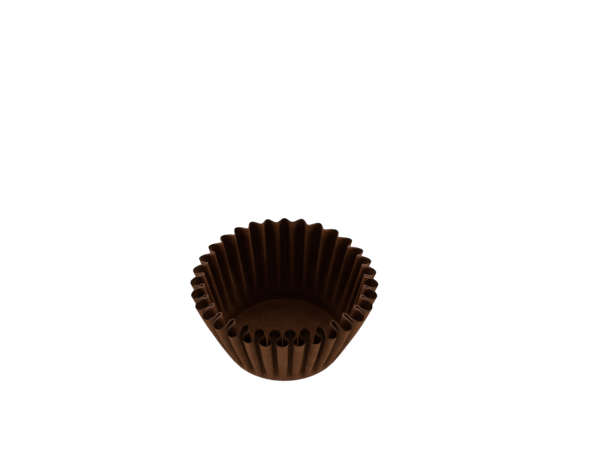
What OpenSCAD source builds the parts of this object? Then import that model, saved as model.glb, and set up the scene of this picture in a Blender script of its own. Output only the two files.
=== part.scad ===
// Small fluted paper liner for one cupcake: one round sheet of paper pressed into a cup.
// The flat bottom turns up over a rounded corner into a flared wall of pinched flutes.
// The sheet is thin, so every point of its middle plane is worked out first and the two
// faces are then set off to either side of it.
// Millimetres, +Z up, origin at the middle of the underside of the bottom, front at -Y.

/* [Cup] */
// Radius of the rim over the outer flute tips
rim_radius = 25; // [22:0.25:28]
// Height of the outer flute tips above the table
wall_height = 21.5; // [16:0.5:28]
// Radius of the flat bottom
floor_radius = 14.7; // [11:0.1:16]
// Radius of the rounded corner between the bottom and the wall
corner_radius = 1.6; // [1:0.1:3]
// How far the wall bulges outwards halfway up
wall_bulge = 0.45; // [0:0.05:0.8]
// Thickness of the pressed paper
paper = 0.12; // [0.08:0.01:0.2]

/* [Flutes] */
// Number of flutes round the wall
flutes = 32; // [24:1:36]
// How far the inner folds stand in from the outer tips at the rim
fold_depth = 3.7; // [2:0.1:4.5]
// How much deeper the folds are at the front than at the side
fold_depth_front = 1.3; // [0:0.1:1.5]
// How far the inner folds rise above the outer tips
fold_rise = 1.6; // [0:0.1:3]
// How much higher the inner folds rise at the front than at the side
fold_rise_front = 0.7; // [0:0.1:1]
// How much higher the outer tips stand at the front than at the back
front_lift = 0.9; // [0:0.1:1.2]
// How far the folds are pinched together, as a share of one flute
pinch = 0.195; // [0.11:0.005:0.215]
// How much tighter the pinch is at the front, and how much weaker at the back
pinch_front = 0.155; // [0:0.005:0.175]
// How much weaker the pinch is at both sides
pinch_side_loss = 0.05; // [0:0.01:0.1]
// How much weaker the pinch is halfway between the front and the sides
pinch_corner_loss = 0.15; // [0:0.01:0.18]
// Share of the pinch that opens again at the rim
rim_ease = 0.3; // [0.2:0.05:0.6]
// How far the folds reach out beyond a plain wave
fold_reach = 0.12; // [0:0.02:0.2]
// How much flatter the inner folds are than the outer ones at the sides
inner_flat = 0.2; // [0:0.02:0.24]
// How much wider the inner folds are than the outer ones at the rim
inner_width = 0; // [-0.3:0.05:0.1]
// How much that grows from the side to the back
inner_width_back = 0.1; // [0:0.05:0.4]
// How much narrower the inner folds are at both sides
inner_side_loss = 1.1; // [0:0.05:1.3]
// How much wider the inner folds are than the outer ones at the foot of the wall
inner_width_foot = -0.3; // [-0.6:0.05:0]
// How much wider the inner folds swell just below the front rim
inner_swell = 0.6; // [0:0.05:0.65]
// Turn of the first outer tip from the front
first_tip = -113.56; // [-180:0.5:180]

/* [Hand of the press] */
// How far the rim is out of round
out_of_round = 0.3; // [0:0.05:0.5]
// Uneven spacing of the flutes in degrees
uneven_spacing = 0.7; // [0:0.1:1]
// Uneven depth of the folds
uneven_depth = 0.3; // [0:0.05:0.4]
// Uneven height of the cut edge
uneven_edge = 0.2; // [0:0.05:0.4]

/* [Hidden] */
// points along one flute, and steps up the straight wall
flute_steps = 12;
wall_steps = 4;
// the rows on the wall stand closer together towards the rim by this power
row_power = 1.3;
// the flutes start where the corner has turned up by this angle
crease_angle = 45;
// the corner is drawn in this many steps as far as the crease
corner_steps = 1;
// the pinch grows with this power of the way up the wall, and eases with the next one
pinch_power = 0.68;
ease_power = 6;
// share of the way up at which the inner folds swell most, and how sharply they do
swell_way = 0.8;
swell_power = 4;

around = flutes * flute_steps;
flute_turn = 360 / flutes;
paper_colour = [0.36, 0.22, 0.15];

// the middle plane of the sheet lies half the paper above the table
mid_z = paper / 2;
corner_centre = [floor_radius, corner_radius + mid_z];
rim_point = [rim_radius, wall_height];

// the straight wall leaves the corner where it just touches the round
to_rim = rim_point - corner_centre;
lean = atan2(to_rim[1], to_rim[0]) + asin(corner_radius / norm(to_rim)) - 90;
wall_foot = corner_centre + corner_radius * [cos(lean), sin(lean)];
crease_point = corner_centre + corner_radius * [cos(crease_angle - 90), sin(crease_angle - 90)];

// way up the outer fold from the crease to the rim: first the rest of the round, then the wall
round_way = corner_radius * (lean + 90 - crease_angle) * PI / 180;
wall_way = norm(rim_point - wall_foot);
round_share = round_way / (round_way + wall_way);
rows = corner_steps + 1 + wall_steps;

// a point on the round, turned up by an angle from the flat bottom
function round_point(turn) = corner_centre + corner_radius * [cos(turn - 90), sin(turn - 90)];

// share of the way up the straight wall, and of the way from the crease to the rim
function up_wall(row) = 1 - pow(1 - (row - corner_steps - 1) / wall_steps, row_power);
function way_up(row) =
    row <= corner_steps ? 0
    : round_share + (1 - round_share) * up_wall(row);

// how far the sheet's edge strays at one angle from the front
function rim_stray(a) = out_of_round * (sin(3 * a - 96) + 0.4 * sin(2 * a - 76));
function turn_stray(a) = uneven_spacing * (0.93 * sin(3 * a - 54) + sin(4 * a + 137));
function depth_stray(a) = uneven_depth * (sin(9 * a + 30) + 0.8 * sin(13 * a + 200)) / 1.8;
function edge_lift(a) = front_lift * pow((1 + cos(a)) / 2, 2);
function edge_stray(a) = uneven_edge * (sin(7 * a + 75) + 0.7 * sin(11 * a + 20)) / 1.7;

// outer fold and inner fold in profile: [radius, height] for one row at one angle
function outer_fold(row, a) =
    row <= corner_steps ? round_point(crease_angle * row / corner_steps)
    : wall_foot
        + (rim_point + [rim_stray(a), edge_stray(a) + edge_lift(a)] - wall_foot) * up_wall(row)
        + [wall_bulge * sin(180 * up_wall(row)), 0];
function inner_fold(row, a) =
    row <= corner_steps ? round_point(crease_angle * row / corner_steps)
    : crease_point + (inner_tip(a) - crease_point) * way_up(row);
function inner_tip(a) = rim_point
    + [rim_stray(a) - fold_depth - fold_depth_front * cos(a) - depth_stray(a),
       fold_rise + fold_rise_front * cos(a) + edge_stray(a)];

// how far the sheet is pinched, and how much wider its inner folds are, at one way up
function pinch_at(a) = pinch + pinch_front * cos(a) - pinch_side_loss * pow(sin(a), 2)
    - pinch_corner_loss * pow(sin(2 * a), 2) * (1 + cos(a)) / 2;
function squeeze(up, a) = pinch_at(a) * pow(up, pinch_power) * (1 - rim_ease * pow(up, ease_power));
function swell(up) = pow(up / swell_way, swell_power) * (1 - up) / (1 - swell_way);
function rim_widen(a) = inner_width - inner_width_back * cos(a) - inner_side_loss * (1 - pow(cos(a), 4));
function widen(up, a) = inner_width_foot * (1 - up) + rim_widen(a) * up
    + inner_swell * (1 + cos(a)) / 2 * swell(up);

// share of the way from the outer fold to the inner one along a flute
function swing(flute) = (cos(360 * flute) + fold_reach * cos(1080 * flute)) / (1 + fold_reach);
function fold_share(flute, a) = (1 - swing(flute)) / 2
    + inner_flat * pow(sin(a), 2) * (1 - cos(720 * flute)) / 2;

// one point of the middle plane; a step of flute_steps is one whole flute
function sheet(step, row) =
    let (
        flute = step / flute_steps,
        a = first_tip + flute * flute_turn,
        up = way_up(row),
        fold = fold_share(flute, a),
        spread = squeeze(up, a) * sin(720 * flute) - widen(up, a) / (2 * PI) * sin(360 * flute),
        turn = a + spread * flute_turn + turn_stray(a) * up,
        place = outer_fold(row, a) * (1 - fold) + inner_fold(row, a) * fold
    )
    [place[0] * sin(turn), -place[0] * cos(turn), place[1]];

function unit(v) = v / norm(v);

// direction out of the cup's outer face; the flat bottom's edge faces straight down
function facing(step, row) =
    row == 0 ? [0, 0, -1]
    : unit(cross(sheet(step + 0.5, row) - sheet(step - 0.5, row),
                 sheet(step, min(row + 1, rows)) - sheet(step, row - 1)));

// the faces of one side of the sheet, row by row, then the bottom as a fan round its middle
function ring(row, step) = row * around + step % around;
function outside_faces(first, flip) = [
    for (row = [0 : rows - 1], step = [0 : around - 1])
        let (
            a = first + ring(row, step),
            b = first + ring(row, step + 1),
            c = first + ring(row + 1, step + 1),
            d = first + ring(row + 1, step)
        )
        each flip ? [[a, b, c], [a, c, d]] : [[a, c, b], [a, d, c]]
];
function fan_faces(first, middle, flip) = [
    for (step = [0 : around - 1])
        flip ? [middle, first + (step + 1) % around, first + step]
        : [middle, first + step, first + (step + 1) % around]
];
function edge_faces(outside, inside) = [
    for (step = [0 : around - 1])
        let (
            a = outside + ring(rows, step),
            b = outside + ring(rows, step + 1),
            c = inside + ring(rows, step + 1),
            d = inside + ring(rows, step)
        )
        each [[a, c, b], [a, d, c]]
];

module fluted_sheet() {
    half = paper / 2;
    places = [for (row = [0 : rows], step = [0 : around - 1]) sheet(step, row)];
    facings = [for (row = [0 : rows], step = [0 : around - 1]) facing(step, row)];
    count = len(places);
    outside = [for (i = [0 : count - 1]) places[i] + half * facings[i]];
    inside = [for (i = [0 : count - 1]) places[i] - half * facings[i]];
    points = concat(outside, inside, [[0, 0, 0], [0, 0, paper]]);
    faces = concat(
        outside_faces(0, false),
        outside_faces(count, true),
        edge_faces(0, count),
        fan_faces(0, 2 * count, false),
        fan_faces(count, 2 * count + 1, true)
    );
    polyhedron(points, faces, convexity = 10);
}

module fluted_liner() {
    color(paper_colour) fluted_sheet();
}

fluted_liner();
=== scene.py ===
import math

import bpy
from bpy.props import FloatProperty, FloatVectorProperty, IntProperty, PointerProperty
from mathutils import Matrix, Vector


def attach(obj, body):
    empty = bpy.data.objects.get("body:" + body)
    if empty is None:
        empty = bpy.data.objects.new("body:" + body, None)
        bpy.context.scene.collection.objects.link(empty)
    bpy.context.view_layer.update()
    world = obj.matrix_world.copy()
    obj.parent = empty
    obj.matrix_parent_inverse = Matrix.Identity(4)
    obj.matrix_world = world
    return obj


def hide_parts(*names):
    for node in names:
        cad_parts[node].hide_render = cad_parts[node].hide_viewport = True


bl_info = {
    "name": "Fluted baking cup",
    "version": (1, 0, 0),
    "blender": (4, 5, 0),
    "location": "3D View > Sidebar > Baking cup",
    "description": "Dresses the packed baking cup: pressed paper sheet, paper finish and studio",
    "category": "Object",
}

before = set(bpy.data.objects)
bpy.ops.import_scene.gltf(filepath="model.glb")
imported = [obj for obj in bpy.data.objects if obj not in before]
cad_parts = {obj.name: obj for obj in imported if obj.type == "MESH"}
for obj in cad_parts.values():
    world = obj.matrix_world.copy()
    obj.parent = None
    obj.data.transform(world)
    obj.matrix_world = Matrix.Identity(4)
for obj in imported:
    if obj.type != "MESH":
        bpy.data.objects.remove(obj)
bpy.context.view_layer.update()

MM = 0.001


# ---------------------------------------------------------------- sizes and colours

class CupSizes(bpy.types.PropertyGroup):
    """Sizes of the pressed cup, the same as the solid's."""
    rim_radius: FloatProperty(
        name="Rim radius", description="Radius of the rim over the outer flute tips",
        default=25.0 * MM, min=0.0, subtype="DISTANCE", unit="LENGTH")
    wall_height: FloatProperty(
        name="Wall height", description="Height of the outer flute tips above the table",
        default=21.5 * MM, min=0.0, subtype="DISTANCE", unit="LENGTH")
    floor_radius: FloatProperty(
        name="Floor radius", description="Radius of the flat bottom",
        default=14.7 * MM, min=0.0, subtype="DISTANCE", unit="LENGTH")
    corner_radius: FloatProperty(
        name="Corner radius", description="Radius of the rounded corner between bottom and wall",
        default=1.6 * MM, min=0.0, subtype="DISTANCE", unit="LENGTH")
    wall_bulge: FloatProperty(
        name="Wall bulge", description="How far the wall bulges outwards halfway up",
        default=0.45 * MM, min=0.0, subtype="DISTANCE", unit="LENGTH")
    paper: FloatProperty(
        name="Paper", description="Thickness of the pressed paper",
        default=0.12 * MM, min=0.0, subtype="DISTANCE", unit="LENGTH")
    flutes: IntProperty(
        name="Flutes", description="Number of flutes round the wall", default=32, min=8, max=60)
    fold_depth: FloatProperty(
        name="Fold depth", description="How far the inner folds stand in from the outer tips",
        default=3.7 * MM, min=0.0, subtype="DISTANCE", unit="LENGTH")
    fold_depth_front: FloatProperty(
        name="Fold depth, front", description="How much deeper the folds are at the front",
        default=1.3 * MM, min=0.0, subtype="DISTANCE", unit="LENGTH")
    fold_rise: FloatProperty(
        name="Fold rise", description="How far the inner folds rise above the outer tips",
        default=1.6 * MM, min=0.0, subtype="DISTANCE", unit="LENGTH")
    fold_rise_front: FloatProperty(
        name="Fold rise, front", description="How much higher the inner folds rise at the front",
        default=0.7 * MM, min=0.0, subtype="DISTANCE", unit="LENGTH")
    front_lift: FloatProperty(
        name="Front lift", description="How much higher the outer flute tips stand at the front",
        default=0.9 * MM, min=0.0, subtype="DISTANCE", unit="LENGTH")
    pinch: FloatProperty(
        name="Pinch", description="How far the folds are pinched, as a share of one flute",
        default=0.195, min=0.0, max=0.35, subtype="FACTOR")
    pinch_front: FloatProperty(
        name="Pinch, front", description="How much tighter the pinch is at the front",
        default=0.155, min=0.0, max=0.2, subtype="FACTOR")
    pinch_side_loss: FloatProperty(
        name="Pinch loss, sides", description="How much weaker the pinch is at both sides",
        default=0.05, min=0.0, max=0.1, subtype="FACTOR")
    pinch_corner_loss: FloatProperty(
        name="Pinch loss, corners", description="How much weaker it is halfway from front to sides",
        default=0.15, min=0.0, max=0.2, subtype="FACTOR")
    rim_ease: FloatProperty(
        name="Rim ease", description="Share of the pinch that opens again at the rim",
        default=0.3, min=0.0, max=1.0, subtype="FACTOR")
    fold_reach: FloatProperty(
        name="Fold reach", description="How far the folds reach out beyond a plain wave",
        default=0.12, min=0.0, max=0.2, subtype="FACTOR")
    inner_flat: FloatProperty(
        name="Inner fold flatness", description="How much flatter the inner folds are at the sides",
        default=0.2, min=0.0, max=0.25, subtype="FACTOR")
    inner_width: FloatProperty(
        name="Inner fold width", description="How much wider the inner folds are than the outer ones",
        default=0.0, min=-1.0, max=1.0, subtype="FACTOR")
    inner_width_back: FloatProperty(
        name="Inner fold width, back", description="How much that grows from the side to the back",
        default=0.1, min=-1.0, max=1.0, subtype="FACTOR")
    inner_side_loss: FloatProperty(
        name="Inner fold loss, sides", description="How much narrower they are at both sides",
        default=1.1, min=0.0, max=1.3, subtype="FACTOR")
    inner_width_foot: FloatProperty(
        name="Inner fold width, foot", description="The same width at the foot of the wall",
        default=-0.3, min=-1.0, max=1.0, subtype="FACTOR")
    inner_swell: FloatProperty(
        name="Inner fold swell", description="How much wider they grow just below the front rim",
        default=0.6, min=0.0, max=1.0, subtype="FACTOR")
    first_tip: FloatProperty(
        name="First tip", description="Turn of the first outer tip from the front",
        default=math.radians(-113.56), subtype="ANGLE", unit="ROTATION")
    crease_angle: FloatProperty(
        name="Crease angle", description="How far the corner has turned up where the flutes start",
        default=math.radians(45), subtype="ANGLE", unit="ROTATION")
    out_of_round: FloatProperty(
        name="Out of round", description="How far the rim is out of round",
        default=0.3 * MM, min=0.0, subtype="DISTANCE", unit="LENGTH")
    uneven_spacing: FloatProperty(
        name="Uneven spacing", description="Uneven spacing of the flutes",
        default=math.radians(0.7), subtype="ANGLE", unit="ROTATION")
    uneven_depth: FloatProperty(
        name="Uneven depth", description="Uneven depth of the folds",
        default=0.3 * MM, min=0.0, subtype="DISTANCE", unit="LENGTH")
    uneven_edge: FloatProperty(
        name="Uneven edge", description="Uneven height of the cut edge",
        default=0.2 * MM, min=0.0, subtype="DISTANCE", unit="LENGTH")


class PaperLook(bpy.types.PropertyGroup):
    """Colours of the dyed paper, and of the shade, bounce light and highlight painted on it."""
    ridge_colour: FloatVectorProperty(
        name="Paper", description="Dyed paper in full light",
        default=(0.118, 0.047, 0.020), size=3, min=0.0, max=1.0, subtype="COLOR")
    # painted bounce light: the inner side's colour is darker and redder for the light bounced between
    # the walls inside
    inner_bounce_colour: FloatVectorProperty(
        name="Inner side", description="Inner side of the paper, which took the dye a little redder",
        default=(0.110, 0.036, 0.014), size=3, min=0.0, max=1.0, subtype="COLOR")
    # painted shade: the crease colour stands in for the shade where the folds close up
    crease_shade_colour: FloatVectorProperty(
        name="Crease", description="Dyed paper where the folds close up",
        default=(0.014, 0.005, 0.002), size=3, min=0.0, max=1.0, subtype="COLOR")
    # painted highlight: the pale cut edge colour stands in for light caught by the edge
    edge_highlight_colour: FloatVectorProperty(
        name="Cut edge", description="Cut edge, where the paler core of the paper shows",
        default=(0.21, 0.10, 0.065), size=3, min=0.0, max=1.0, subtype="COLOR")


class StudioSetup(bpy.types.PropertyGroup):
    """Camera and lamps."""
    camera_distance: FloatProperty(
        name="Camera distance", description="From the camera to the middle of its view",
        default=1.5, min=0.1, subtype="DISTANCE", unit="LENGTH")
    camera_elevation: FloatProperty(
        name="Camera elevation", description="Height of the camera above the table as an angle",
        default=math.radians(44.46), subtype="ANGLE", unit="ROTATION")
    front_power: FloatProperty(
        name="Front lamp", description="Power of the wide low lamp in front", default=3.7,
        min=0.0, subtype="POWER", unit="POWER")
    high_power: FloatProperty(
        name="High lamp", description="Power of the higher lamp in front", default=0.2,
        min=0.0, subtype="POWER", unit="POWER")
    side_power: FloatProperty(
        name="Side lamps", description="Power of each high lamp at the left and right", default=1.95,
        min=0.0, subtype="POWER", unit="POWER")
    flank_power: FloatProperty(
        name="Flank lamps", description="Power of each low lamp at the left and right", default=6.4,
        min=0.0, subtype="POWER", unit="POWER")
    top_power: FloatProperty(
        name="Top lamp", description="Power of the soft lamp overhead", default=4.8,
        min=0.0, subtype="POWER", unit="POWER")
    room_level: FloatProperty(
        name="Room light", description="Level of the light that comes from all round",
        default=0.2, min=0.0, max=2.0)


# ---------------------------------------------------------------- pressed sheet

class FoldMaths:
    """Adds math nodes to a tree, so that a formula reads in one line."""

    def __init__(self, tree):
        self.tree = tree

    def do(self, operation, *values):
        node = self.tree.nodes.new("ShaderNodeMath")
        node.operation = operation
        for socket, value in zip(node.inputs, values):
            if isinstance(value, (int, float)):
                socket.default_value = value
            else:
                self.tree.links.new(value, socket)
        return node.outputs[0]

    def add(self, *values):
        total = values[0]
        for value in values[1:]:
            total = self.do("ADD", total, value)
        return total

    def sub(self, a, b):
        return self.do("SUBTRACT", a, b)

    def mul(self, *values):
        product = values[0]
        for value in values[1:]:
            product = self.do("MULTIPLY", product, value)
        return product

    def div(self, a, b):
        return self.do("DIVIDE", a, b)

    def sin(self, a):
        return self.do("SINE", a)

    def cos(self, a):
        return self.do("COSINE", a)

    def share(self, a):
        """Keeps a value between 0 and 1."""
        return self.do("MINIMUM", self.do("MAXIMUM", a, 0.0), 1.0)

    def ramp(self, a, start, slope):
        """A value from 0 to 1 that starts to grow where a passes the start."""
        return self.share(self.mul(self.sub(a, start), slope))

    def between(self, a, b, part):
        """The value that lies a share of the way from a to b."""
        return self.add(a, self.mul(self.sub(b, a), part))

    def wave(self, angle, times, degrees, level=1.0):
        """A sine wave round the cup, with its start given in degrees."""
        turned = self.add(self.mul(angle, float(times)), math.radians(degrees))
        return self.mul(self.sin(turned), level)


SHEET_INPUTS = [
    # socket name, size it takes, socket type
    ("Rim radius", "rim_radius", "NodeSocketFloat"),
    ("Wall height", "wall_height", "NodeSocketFloat"),
    ("Floor radius", "floor_radius", "NodeSocketFloat"),
    ("Corner radius", "corner_radius", "NodeSocketFloat"),
    ("Wall bulge", "wall_bulge", "NodeSocketFloat"),
    ("Paper", "paper", "NodeSocketFloat"),
    ("Flutes", "flutes", "NodeSocketInt"),
    ("Fold depth", "fold_depth", "NodeSocketFloat"),
    ("Fold depth, front", "fold_depth_front", "NodeSocketFloat"),
    ("Fold rise", "fold_rise", "NodeSocketFloat"),
    ("Fold rise, front", "fold_rise_front", "NodeSocketFloat"),
    ("Front lift", "front_lift", "NodeSocketFloat"),
    ("Pinch", "pinch", "NodeSocketFloat"),
    ("Pinch, front", "pinch_front", "NodeSocketFloat"),
    ("Pinch loss, sides", "pinch_side_loss", "NodeSocketFloat"),
    ("Pinch loss, corners", "pinch_corner_loss", "NodeSocketFloat"),
    ("Rim ease", "rim_ease", "NodeSocketFloat"),
    ("Fold reach", "fold_reach", "NodeSocketFloat"),
    ("Inner fold flatness", "inner_flat", "NodeSocketFloat"),
    ("Inner fold width", "inner_width", "NodeSocketFloat"),
    ("Inner fold width, back", "inner_width_back", "NodeSocketFloat"),
    ("Inner fold loss, sides", "inner_side_loss", "NodeSocketFloat"),
    ("Inner fold width, foot", "inner_width_foot", "NodeSocketFloat"),
    ("Inner fold swell", "inner_swell", "NodeSocketFloat"),
    ("First tip", "first_tip", "NodeSocketFloat"),
    ("Crease angle", "crease_angle", "NodeSocketFloat"),
    ("Out of round", "out_of_round", "NodeSocketFloat"),
    ("Uneven spacing", "uneven_spacing", "NodeSocketFloat"),
    ("Uneven depth", "uneven_depth", "NodeSocketFloat"),
    ("Uneven edge", "uneven_edge", "NodeSocketFloat"),
]
# rows of the sheet from the middle of the bottom to the rim, and steps along one flute
FLOOR_ROWS = 6
CORNER_ROWS = 6
WALL_ROWS = 26
FLUTE_STEPS = 24
# the pinch grows with this power of the way up the wall, and eases with the next one
PINCH_POWER = 0.68
EASE_POWER = 6.0
# share of the way up at which the inner folds swell most, and how sharply they do
SWELL_WAY = 0.8
SWELL_POWER = 4.0
# points this close are joined, where the grid closes on itself and in the middle of the bottom
JOIN_DISTANCE = 0.001 * MM


def pressed_sheet_tree(paper_finish):
    """Geometry nodes that press a flat grid into the cup's fluted middle sheet."""
    tree = bpy.data.node_groups.new("Pressed paper sheet", "GeometryNodeTree")
    tree.is_modifier = True
    face = tree.interface
    face.new_socket(name="Sheet", in_out="OUTPUT", socket_type="NodeSocketGeometry")
    for label, _, kind in SHEET_INPUTS:
        face.new_socket(name=label, in_out="INPUT", socket_type=kind)
    nodes, links = tree.nodes, tree.links
    given = nodes.new("NodeGroupInput")
    size = {name: given.outputs[label] for label, name, _ in SHEET_INPUTS}
    m = FoldMaths(tree)

    # flat grid: U runs round the cup and V from the middle of the bottom to the rim
    rows = FLOOR_ROWS + CORNER_ROWS + WALL_ROWS
    grid = nodes.new("GeometryNodeMeshGrid")
    grid.inputs["Vertices Y"].default_value = rows + 1
    links.new(m.add(m.mul(size["flutes"], FLUTE_STEPS), 1), grid.inputs["Vertices X"])
    split = nodes.new("ShaderNodeSeparateXYZ")
    links.new(grid.outputs["UV Map"], split.inputs[0])
    flute = m.mul(split.outputs["X"], size["flutes"])
    row = m.mul(split.outputs["Y"], rows)
    floor_part = m.share(m.div(row, FLOOR_ROWS))
    corner_part = m.share(m.div(m.sub(row, FLOOR_ROWS), CORNER_ROWS))
    wall_part = m.share(m.div(m.sub(row, FLOOR_ROWS + CORNER_ROWS), WALL_ROWS))

    # the wall leaves the corner where it just touches the round
    middle_z = m.mul(size["paper"], 0.5)
    centre_r = size["floor_radius"]
    centre_z = m.add(size["corner_radius"], middle_z)
    run = m.sub(size["rim_radius"], centre_r)
    rise = m.sub(size["wall_height"], centre_z)
    reach = m.do("SQRT", m.add(m.mul(run, run), m.mul(rise, rise)))
    lean = m.sub(m.add(m.do("ARCTAN2", rise, run),
                       m.do("ARCSINE", m.div(size["corner_radius"], reach))), math.pi / 2)
    foot_r = m.add(centre_r, m.mul(size["corner_radius"], m.cos(lean)))
    foot_z = m.add(centre_z, m.mul(size["corner_radius"], m.sin(lean)))
    whole_turn = m.add(lean, math.pi / 2)
    crease_r = m.add(centre_r, m.mul(size["corner_radius"], m.sin(size["crease_angle"])))
    crease_z = m.sub(centre_z, m.mul(size["corner_radius"], m.cos(size["crease_angle"])))

    # how far the corner has turned up, and the way up from the crease to the rim
    turn_up = m.mul(corner_part, whole_turn)
    wall_run = m.sub(size["rim_radius"], foot_r)
    wall_rise = m.sub(size["wall_height"], foot_z)
    wall_way = m.do("SQRT", m.add(m.mul(wall_run, wall_run), m.mul(wall_rise, wall_rise)))
    round_way = m.mul(size["corner_radius"], m.sub(whole_turn, size["crease_angle"]))
    so_far = m.add(m.mul(size["corner_radius"], m.sub(turn_up, size["crease_angle"])),
                   m.mul(wall_way, wall_part))
    way_up = m.share(m.div(so_far, m.add(round_way, wall_way)))
    above_crease = m.do("GREATER_THAN", way_up, 0.0)

    # angle from the front, and the small unevenness of the press in sums of two waves
    angle = m.add(size["first_tip"], m.mul(flute, m.div(2 * math.pi, size["flutes"])))
    front = m.cos(angle)
    front_share = m.add(m.mul(front, 0.5), 0.5)
    rim_stray = m.mul(size["out_of_round"],
                      m.add(m.wave(angle, 3, -96), m.wave(angle, 2, -76, 0.4)))
    turn_stray = m.mul(size["uneven_spacing"],
                       m.add(m.wave(angle, 3, -54, 0.93), m.wave(angle, 4, 137)))
    depth_stray = m.mul(size["uneven_depth"], 1 / 1.8,
                        m.add(m.wave(angle, 9, 30), m.wave(angle, 13, 200, 0.8)))
    edge_stray = m.mul(size["uneven_edge"], 1 / 1.7,
                       m.add(m.wave(angle, 7, 75), m.wave(angle, 11, 20, 0.7)))

    # outer fold in profile: flat bottom, round, then the slightly bulging wall
    round_r = m.add(m.mul(centre_r, floor_part), m.mul(size["corner_radius"], m.sin(turn_up)))
    round_z = m.sub(centre_z, m.mul(size["corner_radius"], m.cos(turn_up)))
    bulge = m.mul(size["wall_bulge"], m.sin(m.mul(wall_part, math.pi)))
    outer_r = m.add(round_r, m.mul(m.add(wall_run, rim_stray), wall_part), bulge)
    lift = m.mul(size["front_lift"], front_share, front_share)
    outer_z = m.add(round_z, m.mul(m.add(wall_rise, edge_stray, lift), wall_part))

    # inner fold in profile: straight from the crease to its own tip
    depth = m.add(size["fold_depth"], m.mul(size["fold_depth_front"], front), depth_stray)
    tip_rise = m.add(size["fold_rise"], m.mul(size["fold_rise_front"], front), edge_stray)
    tip_r = m.sub(m.add(size["rim_radius"], rim_stray), depth)
    tip_z = m.add(size["wall_height"], tip_rise)
    inner_r = m.between(outer_r, m.between(crease_r, tip_r, way_up), above_crease)
    inner_z = m.between(outer_z, m.between(crease_z, tip_z, way_up), above_crease)

    # one flute: the sheet swings between the two folds and is pinched between them
    phase = m.mul(flute, 2 * math.pi)
    sideways = m.sub(1.0, m.mul(front, front))
    flat = m.mul(size["inner_flat"], sideways)
    swing = m.mul(m.add(m.cos(phase), m.mul(size["fold_reach"], m.cos(m.mul(phase, 3.0)))),
                  m.div(1.0, m.add(size["fold_reach"], 1.0)))
    fold = m.add(m.mul(m.sub(1.0, swing), 0.5),
                 m.mul(flat, 0.5, m.sub(1.0, m.cos(m.mul(phase, 2.0)))))
    # sideways times the squared cosine is a quarter of the squared sine of the double angle
    corner = m.mul(sideways, front, front, 4.0, front_share)
    squeeze = m.mul(m.add(size["pinch"], m.mul(size["pinch_front"], front),
                          m.mul(size["pinch_side_loss"], sideways, -1.0),
                          m.mul(size["pinch_corner_loss"], corner, -1.0)),
                    m.do("POWER", way_up, PINCH_POWER),
                    m.sub(1.0, m.mul(size["rim_ease"], m.do("POWER", way_up, EASE_POWER))))
    side_loss = m.mul(size["inner_side_loss"], m.sub(1.0, m.mul(front, front, front, front)))
    widen_rim = m.sub(m.sub(size["inner_width"], m.mul(size["inner_width_back"], front)),
                      side_loss)
    swell = m.mul(m.do("POWER", m.div(way_up, SWELL_WAY), SWELL_POWER),
                  m.sub(1.0, way_up), 1 / (1 - SWELL_WAY), front_share)
    widen = m.add(m.between(size["inner_width_foot"], widen_rim, way_up),
                  m.mul(size["inner_swell"], swell))
    spread = m.mul(
        m.sub(m.mul(squeeze, m.sin(m.mul(phase, 2.0))),
              m.mul(widen, 1 / (2 * math.pi), m.sin(phase))),
        m.div(2 * math.pi, size["flutes"]))
    turn = m.add(angle, spread, m.mul(turn_stray, way_up))
    radius = m.between(outer_r, inner_r, fold)
    height = m.between(outer_z, inner_z, fold)

    # the pleat attribute keeps the place on the sheet for the paper's finish
    pleat = nodes.new("ShaderNodeCombineXYZ")
    links.new(flute, pleat.inputs["X"])
    links.new(way_up, pleat.inputs["Y"])
    links.new(m.mul(fold, above_crease), pleat.inputs["Z"])
    keep_pleat = nodes.new("GeometryNodeStoreNamedAttribute")
    keep_pleat.data_type = "FLOAT_VECTOR"
    keep_pleat.domain = "POINT"
    keep_pleat.inputs["Name"].default_value = "pleat"
    links.new(grid.outputs["Mesh"], keep_pleat.inputs["Geometry"])
    links.new(pleat.outputs[0], keep_pleat.inputs["Value"])

    place = nodes.new("ShaderNodeCombineXYZ")
    links.new(m.mul(radius, m.sin(turn)), place.inputs["X"])
    links.new(m.mul(radius, m.mul(m.cos(turn), -1.0)), place.inputs["Y"])
    links.new(height, place.inputs["Z"])
    press = nodes.new("GeometryNodeSetPosition")
    links.new(keep_pleat.outputs[0], press.inputs["Geometry"])
    links.new(place.outputs[0], press.inputs["Position"])

    # the middle place and facing are kept, so that the two sides can be told apart later
    here = nodes.new("GeometryNodeInputPosition")
    facing = nodes.new("GeometryNodeInputNormal")
    close = nodes.new("GeometryNodeMergeByDistance")
    close.inputs["Distance"].default_value = JOIN_DISTANCE
    links.new(press.outputs[0], close.inputs["Geometry"])
    last = close.outputs[0]
    for name, field in (("middle", here.outputs[0]), ("facing", facing.outputs[0])):
        keep = nodes.new("GeometryNodeStoreNamedAttribute")
        keep.data_type = "FLOAT_VECTOR"
        keep.domain = "POINT"
        keep.inputs["Name"].default_value = name
        links.new(last, keep.inputs["Geometry"])
        links.new(field, keep.inputs["Value"])
        last = keep.outputs[0]
    smooth = nodes.new("GeometryNodeSetShadeSmooth")
    links.new(last, smooth.inputs["Geometry"])
    real = nodes.new("GeometryNodeRealizeInstances")
    links.new(smooth.outputs[0], real.inputs[0])
    finish = nodes.new("GeometryNodeSetMaterial")
    finish.inputs["Material"].default_value = paper_finish
    links.new(real.outputs[0], finish.inputs["Geometry"])
    out = nodes.new("NodeGroupOutput")
    links.new(finish.outputs[0], out.inputs["Sheet"])
    return tree


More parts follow.
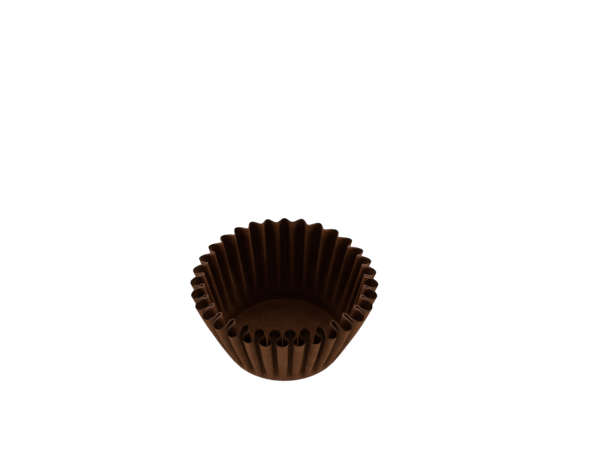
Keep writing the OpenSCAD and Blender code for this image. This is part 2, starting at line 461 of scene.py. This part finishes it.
def mark_sides(mesh):
    """Keeps a value of 1 on the inner side of the paper and 0 on the outer side."""
    count = len(mesh.vertices)
    here = [0.0] * (3 * count)
    middle = [0.0] * (3 * count)
    facing = [0.0] * (3 * count)
    mesh.vertices.foreach_get("co", here)
    mesh.attributes["middle"].data.foreach_get("vector", middle)
    mesh.attributes["facing"].data.foreach_get("vector", facing)
    outward = [sum((here[i + k] - middle[i + k]) * facing[i + k] for k in range(3))
               for i in range(0, 3 * count, 3)]
    # the lowest point in the middle of the bottom lies on the outer side
    def off_middle(i):
        x, y, z = here[3 * i:3 * i + 3]
        return x * x + y * y + z

    sign = 1.0 if outward[min(range(count), key=off_middle)] > 0 else -1.0
    inside = [1.0 if sign * value < 0 else 0.0 for value in outward]
    if not 0.4 < sum(inside) / count < 0.6:
        raise RuntimeError("the two sides of the paper could not be told apart")
    mesh.attributes.remove(mesh.attributes["middle"])
    mesh.attributes.remove(mesh.attributes["facing"])
    mark = mesh.attributes.new("inside", "FLOAT", "POINT")
    mark.data.foreach_set("value", inside)


def check_closed(mesh):
    """Stops the script unless the sheet is one closed shell that faces outwards."""
    mesh.calc_loop_triangles()
    volume = 0.0
    edges = {}
    for triangle in mesh.loop_triangles:
        a, b, c = (mesh.vertices[i].co for i in triangle.vertices)
        volume += a.dot(b.cross(c)) / 6
    for polygon in mesh.polygons:
        for edge in polygon.edge_keys:
            edges[edge] = edges.get(edge, 0) + 1
    open_edges = sum(1 for times in edges.values() if times != 2)
    if open_edges or volume <= 0:
        raise RuntimeError(f"the sheet is not closed: {open_edges} open edges, volume {volume}")


# ---------------------------------------------------------------- paper finish

def paper_material(look):
    """Dyed, slightly glazed baking paper with a short fibre, with shade painted into the folds and a
    highlight painted on the cut edge.
    """
    material = bpy.data.materials.new("glazed_brown_paper")
    material.use_nodes = True
    tree = material.node_tree
    nodes, links = tree.nodes, tree.links
    shader = nodes["Principled BSDF"]
    m = FoldMaths(tree)
    place = nodes.new("ShaderNodeTexCoord").outputs["Object"]
    pleat = nodes.new("ShaderNodeAttribute")
    pleat.attribute_name = "pleat"
    split = nodes.new("ShaderNodeSeparateXYZ")
    links.new(pleat.outputs["Vector"], split.inputs[0])
    way_up, fold = split.outputs["Y"], split.outputs["Z"]
    spot = nodes.new("ShaderNodeSeparateXYZ")
    links.new(place, spot.inputs[0])
    x, y = spot.outputs["X"], spot.outputs["Y"]
    radius = m.do("SQRT", m.add(m.mul(x, x), m.mul(y, y)))
    side = nodes.new("ShaderNodeAttribute")
    side.attribute_name = "inside"
    inside = side.outputs["Fac"]

    def noise(scale, detail, rough, stretch=None):
        node = nodes.new("ShaderNodeTexNoise")
        node.inputs["Scale"].default_value = scale
        node.inputs["Detail"].default_value = detail
        node.inputs["Roughness"].default_value = rough
        if stretch:
            turn = nodes.new("ShaderNodeMapping")
            turn.inputs["Scale"].default_value = stretch
            links.new(place, turn.inputs["Vector"])
            links.new(turn.outputs[0], node.inputs["Vector"])
        else:
            links.new(place, node.inputs["Vector"])
        return node.outputs["Fac"]

    def blend(part, a, b):
        node = nodes.new("ShaderNodeMix")
        node.data_type = "RGBA"
        links.new(part, node.inputs["Factor"])
        for socket, value in ((node.inputs["A"], a), (node.inputs["B"], b)):
            if isinstance(value, bpy.types.NodeSocket):
                links.new(value, socket)
            else:
                socket.default_value = (*value, 1.0)
        return node.outputs["Result"]

    # painted shade where the folds close up: on the outer side at the inner folds, and on the inner side
    # at the tips; near the rim the painted shade on the outer side is darkest at the front and lighter
    # at the sides, where the folds stand open, and the inner side is painted darker on both flanks of
    # the front half
    off_centre = m.do("ABSOLUTE", x)
    near_rim = m.ramp(way_up, 0.7, 4.0)
    closed = m.mul(near_rim, m.ramp(off_centre, 15 * MM, -200.0))
    opened = m.mul(near_rim, m.ramp(off_centre, 12 * MM, 200.0))
    pocket = m.mul(near_rim, m.ramp(y, 4 * MM, -200.0), m.ramp(off_centre, 8 * MM, 200.0))
    painted_shade_outside = m.mul(m.sub(1.0, m.do("POWER", m.sub(1.0, fold), 2.5)),
                         m.between(m.between(0.69, 0.35, opened), 1.0, closed))
    painted_shade_inside = m.mul(m.ramp(fold, 0.97, -2.0), m.between(0.6, 0.9, pocket))
    painted_shade = m.mul(m.between(painted_shade_outside, painted_shade_inside, inside), m.ramp(way_up, 0.04, 8.0))

    # beyond the edge of the bottom, painted shade darkens the foot of the flutes inside, and a thin
    # lighter line along that edge is a painted highlight
    bottom_highlight_radius, foot_start, bottom_end = 15.1 * MM, 15.2 * MM, 15.3 * MM
    # painted shade on the inner side at the foot of the flutes
    foot = m.mul(inside, m.ramp(radius, foot_start, 4000.0), m.ramp(way_up, 0.24, -5.0), 0.5)
    painted_shade = m.do("MAXIMUM", painted_shade, foot)
    bottom = m.mul(inside, m.ramp(radius, bottom_end, -4000.0))
    # painted highlight: a thin lighter line along the edge of the bottom, where the corner catches the
    # light
    off_bottom_highlight = m.do("ABSOLUTE", m.sub(radius, bottom_highlight_radius))
    line = m.mul(m.share(m.sub(1.0, m.mul(off_bottom_highlight, 4500.0))), inside)

    # short fibre, uneven dye, and streaks across the bottom; the painted highlight along the bottom's
    # edge is patchy
    fibre = noise(2200.0, 3.0, 0.65, (1.0, 1.0, 2.2))
    cloud = noise(260.0, 2.0, 0.5)
    streak = noise(1500.0, 2.0, 0.5, (0.12, 1.0, 1.0))
    mottle = m.add(m.mul(m.sub(fibre, 0.5), 1.5),
                   m.mul(m.sub(cloud, 0.5), 0.7),
                   m.mul(m.add(m.mul(m.sub(streak, 0.5), 0.75), 0.1), bottom),
                   m.mul(line, m.ramp(cloud, 0.35, 4.0), 0.7))
    # painted bounce light: the inner side is darker and redder, less so on the bottom
    colour = blend(m.mul(inside, m.sub(1.0, m.mul(bottom, 0.35))),
                   tuple(look.ridge_colour), tuple(look.inner_bounce_colour))
    # painted shade in the folds and at the foot of the flutes inside
    colour = blend(painted_shade, colour, tuple(look.crease_shade_colour))
    light = nodes.new("ShaderNodeHueSaturation")
    links.new(colour, light.inputs["Color"])
    links.new(m.add(1.0, mottle), light.inputs["Value"])

    # painted highlight on the cut edge at both sides of the cup and partly at the back, and painted
    # shade on it at the front and at the outer tips
    edge = m.ramp(way_up, 0.985, 130.0)
    off_front = m.add(off_centre, m.mul(m.do("MAXIMUM", y, 0.0), 0.35))
    edge_highlight_mask = m.mul(m.ramp(off_front, 9 * MM, 110.0), m.ramp(fold, 0.15, 2.5))
    edge_light_and_shade = blend(edge_highlight_mask, tuple(look.crease_shade_colour), tuple(look.edge_highlight_colour))
    colour = blend(edge, light.outputs[0], edge_light_and_shade)
    links.new(colour, shader.inputs["Base Color"])

    links.new(m.add(0.46, m.mul(m.sub(fibre, 0.5), 0.25)), shader.inputs["Roughness"])
    shader.inputs["Specular IOR Level"].default_value = 0.0
    bump = nodes.new("ShaderNodeBump")
    bump.inputs["Strength"].default_value = 0.25
    bump.inputs["Distance"].default_value = 0.00004
    links.new(fibre, bump.inputs["Height"])
    links.new(bump.outputs[0], shader.inputs["Normal"])
    return material


# ---------------------------------------------------------------- operators

class CUP_OT_pressed_sheet(bpy.types.Operator):
    """Makes the fluted cup, one pressed sheet of paper"""
    bl_idname = "cup.pressed_sheet"
    bl_label = "Pressed sheet"

    def execute(self, context):
        sizes, look = context.scene.cup_sizes, context.scene.cup_look
        finish = paper_material(look)
        blank = bpy.data.objects.new("blank_sheet", bpy.data.meshes.new("blank_sheet"))
        context.scene.collection.objects.link(blank)
        press = blank.modifiers.new("Pressed paper sheet", "NODES")
        press.node_group = pressed_sheet_tree(finish)
        sockets = {item.name: item.identifier
                   for item in press.node_group.interface.items_tree if item.in_out == "INPUT"}
        for label, name, _ in SHEET_INPUTS:
            press[sockets[label]] = getattr(sizes, name)
        thick = blank.modifiers.new("Paper thickness", "SOLIDIFY")
        thick.thickness = sizes.paper
        thick.offset = 0.0
        thick.use_even_offset = True
        thick.use_quality_normals = True

        seen = blank.evaluated_get(context.evaluated_depsgraph_get())
        mesh = bpy.data.meshes.new_from_object(seen)
        mesh.name = "fluted_cup"
        blank.modifiers.clear()
        bpy.data.objects.remove(blank)
        mark_sides(mesh)
        check_closed(mesh)
        piece = bpy.data.objects.new("fluted_cup", mesh)
        context.scene.collection.objects.link(piece)
        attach(piece, "root")
        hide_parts("fluted_liner")
        return {"FINISHED"}


class CUP_OT_studio(bpy.types.Operator):
    """Sets the white table, the room light, the lamps and the camera"""
    bl_idname = "cup.studio"
    bl_label = "Studio"

    def execute(self, context):
        scene, setup = context.scene, context.scene.cup_studio
        self.table(scene)
        self.room(scene, setup)
        self.lamp(scene, "front_lamp", setup.front_power, (0.6, 0.1),
                  Vector((0.0, -1.1, 0.07)), Vector((0.0, 0.0, 0.01)))
        self.lamp(scene, "top_lamp", setup.top_power, (0.5, 0.5),
                  Vector((0.0, 0.68, 0.74)), Vector((0.0, 0.0, 0.0)))
        self.lamp(scene, "high_lamp", setup.high_power, (0.4, 0.3),
                  Vector((0.0, -1.0, 0.42)), Vector((0.0, 0.0, 0.01)))
        # the right lamp is stronger, as the photograph's inner wall is brighter at the left
        for name, side, share in (("left_lamp", -1.0, 1.2), ("right_lamp", 1.0, 1.9)):
            self.lamp(scene, name, setup.side_power * share, (0.3, 0.3),
                      Vector((0.9 * side, 0.05, 0.5)), Vector((0.0, 0.0, 0.01)))
            self.lamp(scene, name + "_low", setup.flank_power, (0.3, 0.1),
                      Vector((1.05 * side, -0.2, 0.07)), Vector((0.0, 0.0, 0.01)))
        self.camera(scene, setup)
        scene.view_settings.view_transform = "Standard"
        return {"FINISHED"}

    def table(self, scene):
        """The white table, a hair below the cup, so that the two flat faces don't coincide."""
        half, down = 3.0, -0.02 * MM
        corners = [(x, y, down) for x, y in ((-half, -half), (half, -half), (half, half), (-half, half))]
        mesh = bpy.data.meshes.new("table_top")
        mesh.from_pydata(corners, [], [(0, 1, 2, 3)])
        top = bpy.data.objects.new("table_top", mesh)
        scene.collection.objects.link(top)
        finish = bpy.data.materials.new("white_table")
        finish.use_nodes = True
        nodes, links = finish.node_tree.nodes, finish.node_tree.links
        shader = nodes["Principled BSDF"]
        shader.inputs["Base Color"].default_value = (0.82, 0.82, 0.82, 1.0)
        shader.inputs["Roughness"].default_value = 0.9
        shader.inputs["Specular IOR Level"].default_value = 0.0
        rays = nodes.new("ShaderNodeLightPath")
        m = FoldMaths(finish.node_tree)
        seen = m.share(m.add(rays.outputs["Is Camera Ray"], rays.outputs["Is Glossy Ray"],
                             rays.outputs["Is Transmission Ray"]))
        glow = nodes.new("ShaderNodeEmission")
        glow.inputs["Strength"].default_value = 1.2
        both = nodes.new("ShaderNodeMixShader")
        links.new(m.mul(seen, 0.8), both.inputs[0])
        links.new(shader.outputs[0], both.inputs[1])
        links.new(glow.outputs[0], both.inputs[2])
        links.new(both.outputs[0], nodes["Material Output"].inputs["Surface"])
        mesh.materials.append(finish)

    def room(self, scene, setup):
        """Plain light from all round; only the camera sees it white."""
        world = bpy.data.worlds.new("white_room")
        scene.world = world
        world.use_nodes = True
        tree = world.node_tree
        back = tree.nodes["Background"]
        back.inputs["Color"].default_value = (1.0, 1.0, 1.0, 1.0)
        rays = tree.nodes.new("ShaderNodeLightPath")
        m = FoldMaths(tree)
        seen = m.share(m.add(rays.outputs["Is Camera Ray"], rays.outputs["Is Glossy Ray"],
                             rays.outputs["Is Transmission Ray"]))
        tree.links.new(m.between(setup.room_level, 1.0, seen), back.inputs["Strength"])

    def lamp(self, scene, name, power, size, place, target):
        """A soft lamp that faces its target."""
        light = bpy.data.lights.new(name, "AREA")
        light.shape = "RECTANGLE"
        light.size, light.size_y = size
        light.energy = power
        lamp = bpy.data.objects.new(name, light)
        scene.collection.objects.link(lamp)
        turn = (target - place).to_track_quat("-Z", "Y")
        lamp.matrix_world = Matrix.Translation(place) @ turn.to_matrix().to_4x4()

    def camera(self, scene, setup):
        """The photograph's view: from in front and above, with a long lens."""
        sizes = scene.cup_sizes
        up = setup.camera_elevation
        forward = Vector((0.0, math.cos(up), -math.sin(up)))
        upward = Vector((0.0, math.sin(up), math.cos(up)))
        across = Vector((1.0, 0.0, 0.0))
        # measured in pixels of the photograph: its width, the rim's radius, and how far the
        # middle of the rim lies left of and below the middle of the view
        picture_width, rim_pixels, left_pixels, below_pixels = 600.0, 93.65, 15.84, 58.6
        pixels = rim_pixels / sizes.rim_radius
        rim_middle = Vector((0.0, 0.0, sizes.wall_height))
        target = rim_middle + across * (left_pixels / pixels) + upward * (below_pixels / pixels)
        lens = bpy.data.cameras.new("photo_view")
        lens.type = "PERSP"
        lens.sensor_width = 36.0
        lens.lens = lens.sensor_width * pixels * setup.camera_distance / picture_width
        lens.clip_start, lens.clip_end = 0.05, 20.0
        camera = bpy.data.objects.new("photo_view", lens)
        scene.collection.objects.link(camera)
        place = target - forward * setup.camera_distance
        turn = Matrix((across, upward, -forward)).transposed().to_4x4()
        camera.matrix_world = Matrix.Translation(place) @ turn
        scene.camera = camera


class CUP_PT_panel(bpy.types.Panel):
    """Lists the steps that dress the baking cup"""
    bl_idname = "CUP_PT_panel"
    bl_label = "Baking cup"
    bl_space_type = "VIEW_3D"
    bl_region_type = "UI"
    bl_category = "Baking cup"

    def draw(self, context):
        scene = context.scene
        for operator, settings in ((CUP_OT_pressed_sheet, (scene.cup_sizes, scene.cup_look)),
                                   (CUP_OT_studio, (scene.cup_studio,))):
            box = self.layout.box()
            box.operator(operator.bl_idname)
            for group in settings:
                for name in group.__annotations__:
                    box.prop(group, name)


CLASSES = (CupSizes, PaperLook, StudioSetup, CUP_OT_pressed_sheet, CUP_OT_studio, CUP_PT_panel)


def register():
    for kind in CLASSES:
        bpy.utils.register_class(kind)
    bpy.types.Scene.cup_sizes = PointerProperty(type=CupSizes)
    bpy.types.Scene.cup_look = PointerProperty(type=PaperLook)
    bpy.types.Scene.cup_studio = PointerProperty(type=StudioSetup)


def unregister():
    del bpy.types.Scene.cup_studio
    del bpy.types.Scene.cup_look
    del bpy.types.Scene.cup_sizes
    for kind in reversed(CLASSES):
        bpy.utils.unregister_class(kind)


def main():
    register()
    bpy.ops.cup.pressed_sheet()
    bpy.ops.cup.studio()


if __name__ == "__main__":
    main()
